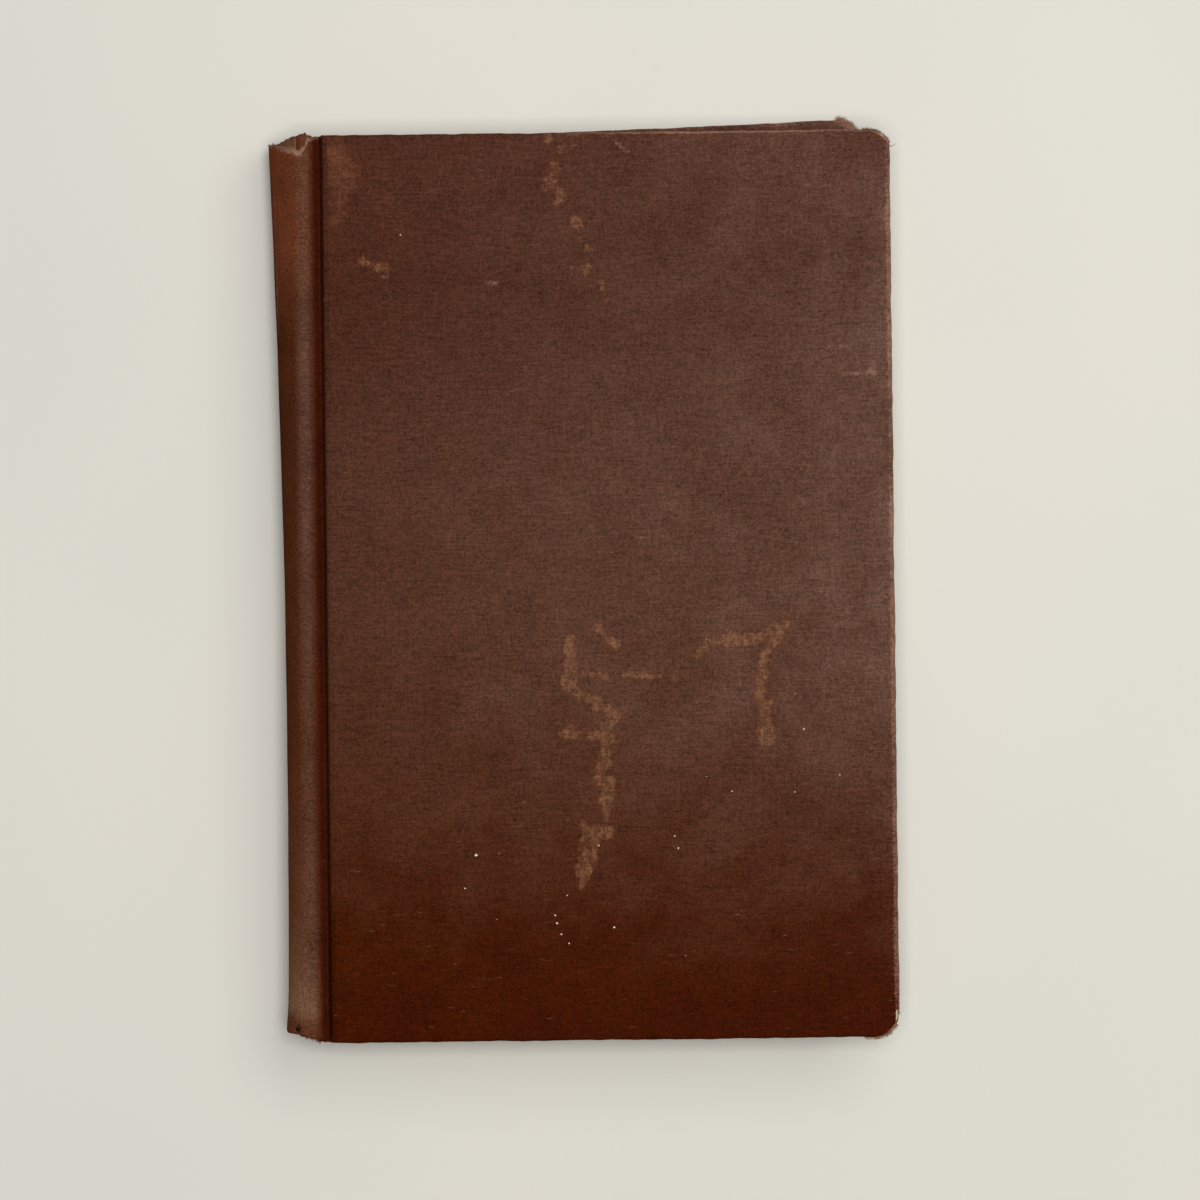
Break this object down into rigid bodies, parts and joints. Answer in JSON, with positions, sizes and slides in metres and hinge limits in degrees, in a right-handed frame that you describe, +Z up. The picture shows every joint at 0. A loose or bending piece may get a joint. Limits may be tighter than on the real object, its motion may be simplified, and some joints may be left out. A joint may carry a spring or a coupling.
{
  "type": "hardback book",
  "caption": "Worn cloth-bound hardback book lying closed: rounded spine, French grooves, and two covers that open.",
  "frame": {"origin": "on the surface the book lies on, under the middle of the front cover", "axes": "+X from the spine to the fore-edge, +Y from the tail to the head along the front cover's joint, +Z up out of the front cover"},
  "size_m": [0.1367, 0.201, 0.026],
  "materials": {
    "book_cloth": "red-brown book cloth, rubbed and stained",
    "binders_board": "grey-cream binder's board",
    "leaves": "aged uncoated paper, cut edges",
    "endpaper": "aged plain endpaper",
    "gauze": "open cotton gauze",
    "kraft_lining": "brown kraft paper",
    "spine_card": "thin tan card"
  },
  "bodies": {
    "text_block": {"text_block": "leaves", "front_flyleaf": "endpaper", "rear_flyleaf": "endpaper", "spine_super": "gauze", "spine_lining": "kraft_lining", "spine_inlay": "spine_card", "spine_cloth": "book_cloth"},
    "front_cover": {"front_board": "binders_board", "front_cover_cloth": "book_cloth", "front_pastedown": "endpaper", "front_super_flange": "gauze"},
    "rear_cover": {"rear_board": "binders_board", "rear_cover_cloth": "book_cloth", "rear_pastedown": "endpaper", "rear_super_flange": "gauze"}
  },
  "joints": [
    {"name": "front_cover_hinge", "type": "hinge", "parent": "text_block", "child": "front_cover", "pos_m": [-0.06265, 0, 0.026], "axis": [0, -1, 0], "range_deg": [0, 180]},
    {"name": "rear_cover_hinge", "type": "hinge", "parent": "text_block", "child": "rear_cover", "pos_m": [-0.06445, -0.00003, 0], "axis": [-0.034, 0.9994, 0], "range_deg": [0, 180]}
  ]
}
